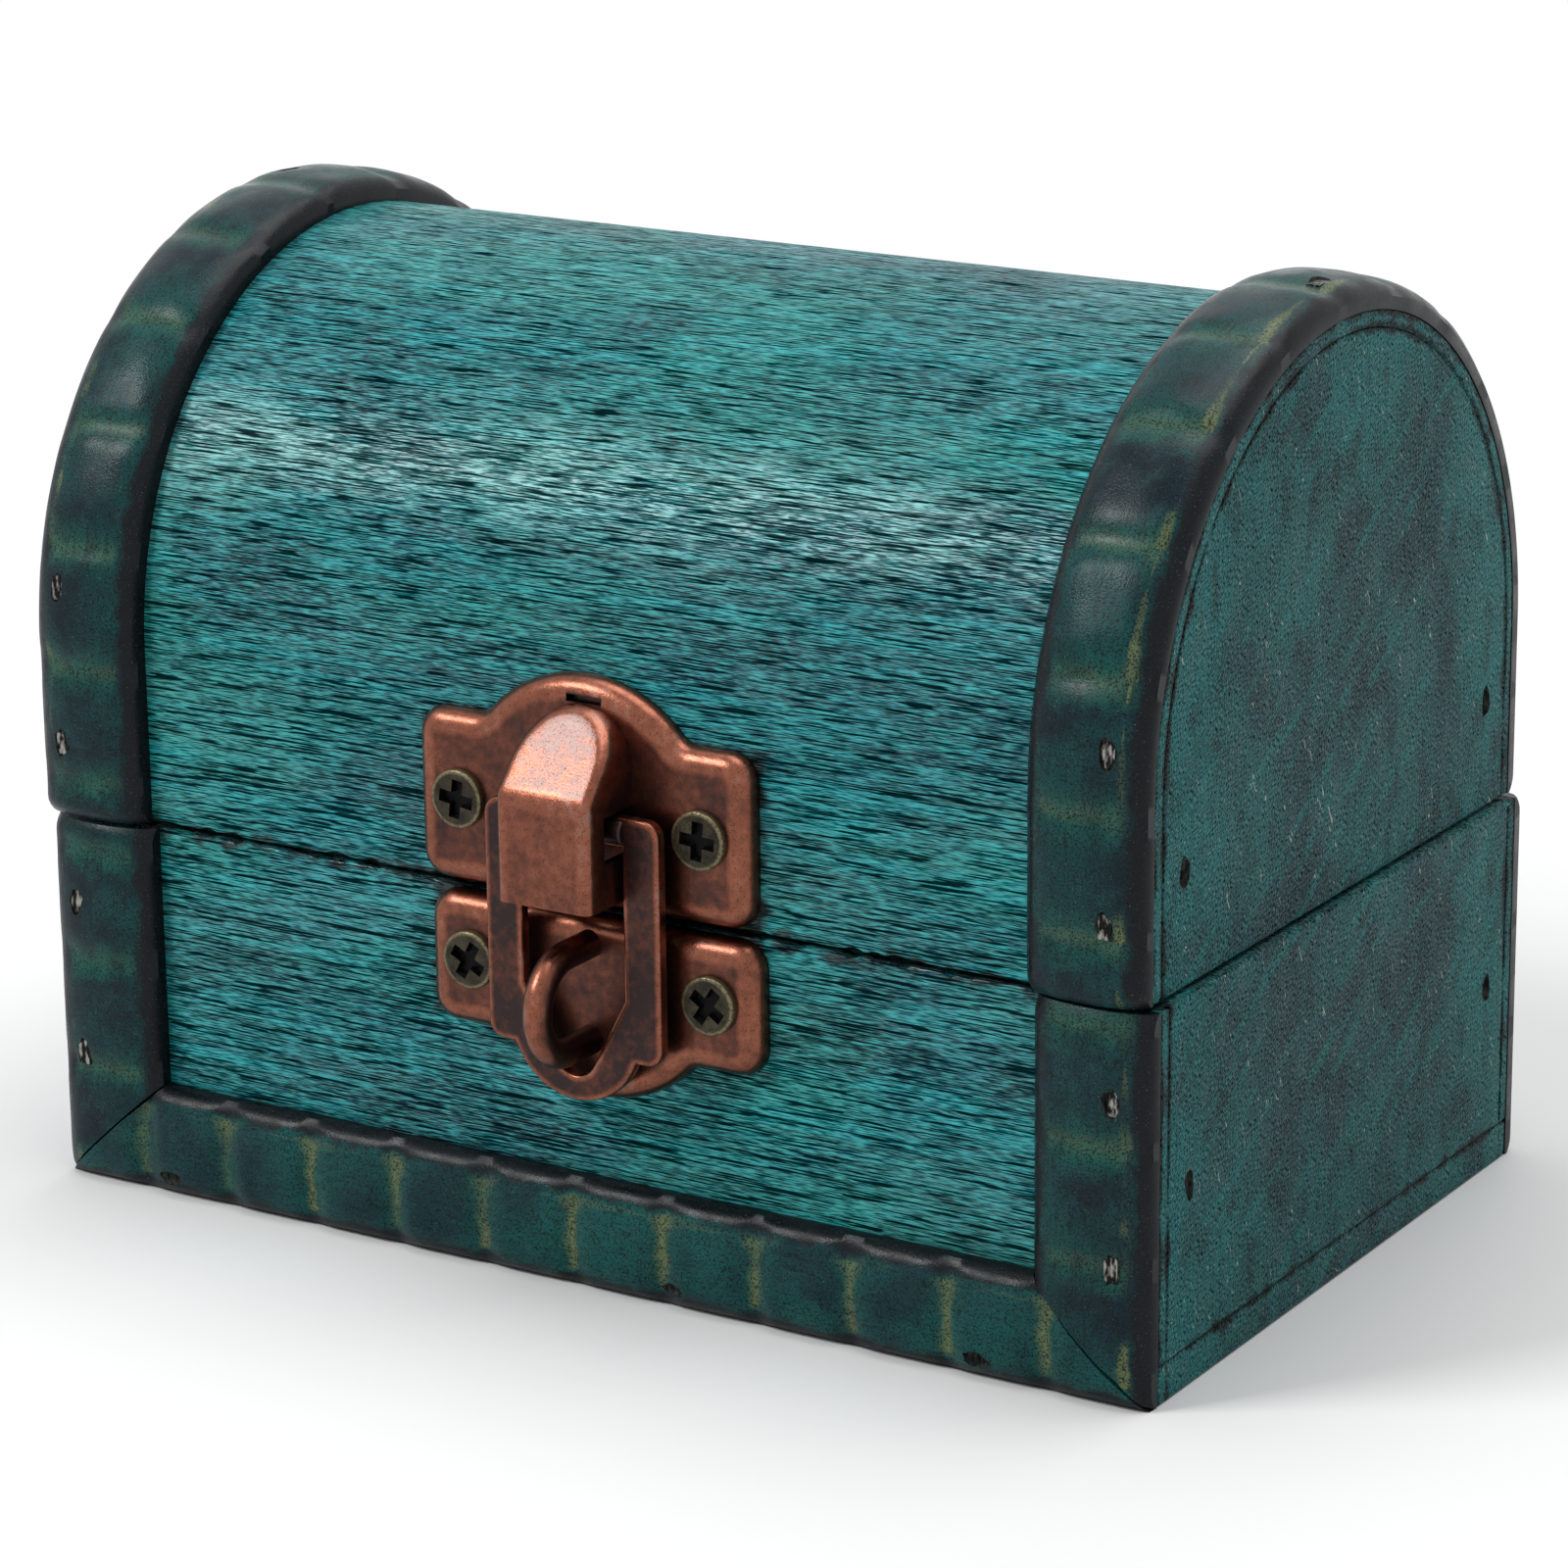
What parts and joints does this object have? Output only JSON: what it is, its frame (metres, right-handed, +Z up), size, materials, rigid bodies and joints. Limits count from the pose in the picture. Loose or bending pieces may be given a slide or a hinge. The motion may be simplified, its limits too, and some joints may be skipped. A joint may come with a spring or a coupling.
{
  "type": "treasure chest box",
  "caption": "Small domed wooden treasure chest box with carved half-round edge bands, a back-hinged lid and a copper hasp that swings over a staple to latch it.",
  "frame": {"origin": "middle of the underside of the bottom board, on the surface that the chest stands on", "axes": "+X along the length of the chest, -Y out of the front with the latch, +Z up"},
  "size_m": [0.0906, 0.0669, 0.0704],
  "materials": {
    "teal_sheet": "stained and waxed",
    "end_panel": "stained, matt",
    "dark_band": "stained dark, waxed",
    "inner_wood": "stained",
    "antique_copper": "antique copper plating, worn bright at the edges",
    "bronze_screw": "dark bronze",
    "steel": "bright wire"
  },
  "bodies": {
    "base": {"bottom_board": "inner_wood", "base_end_left": "end_panel", "base_end_right": "end_panel", "base_front_board": "inner_wood", "base_back_board": "inner_wood", "base_front_sheet": "teal_sheet", "base_back_sheet": "teal_sheet", "base_front_band_left": "dark_band", "base_front_band_right": "dark_band", "base_back_band_left": "dark_band", "base_back_band_right": "dark_band", "bottom_band": "dark_band", "base_band_brads": "steel", "base_end_brads": "steel", "latch_lower_plate": "antique_copper", "latch_staple": "antique_copper", "latch_lower_screws": "bronze_screw", "hinge_base_leaf_left": "antique_copper", "hinge_base_leaf_right": "antique_copper", "hinge_pin_left": "steel", "hinge_pin_right": "steel", "hinge_base_screws": "bronze_screw"},
    "lid": {"lid_end_left": "end_panel", "lid_end_right": "end_panel", "lid_front_rail": "inner_wood", "lid_back_rail": "inner_wood", "lid_sheet": "teal_sheet", "lid_band_left": "dark_band", "lid_band_right": "dark_band", "lid_band_brads": "steel", "lid_end_brads": "steel", "latch_upper_plate": "antique_copper", "latch_hood": "antique_copper", "latch_upper_screws": "bronze_screw", "hinge_lid_leaf_left": "antique_copper", "hinge_lid_leaf_right": "antique_copper", "hinge_lid_screws": "bronze_screw"},
    "hasp": {"latch_hasp": "antique_copper"}
  },
  "joints": [
    {"name": "lid_open", "type": "hinge", "parent": "base", "child": "lid", "pos_m": [0, 0.02905, 0.02765], "axis": [-1, 0, 0], "range_deg": [0, 110]},
    {"name": "hasp_swing", "type": "hinge", "parent": "lid", "child": "hasp", "pos_m": [0.0018, -0.03035, 0.0345], "axis": [-1, 0, 0], "range_deg": [0, 150]}
  ]
}
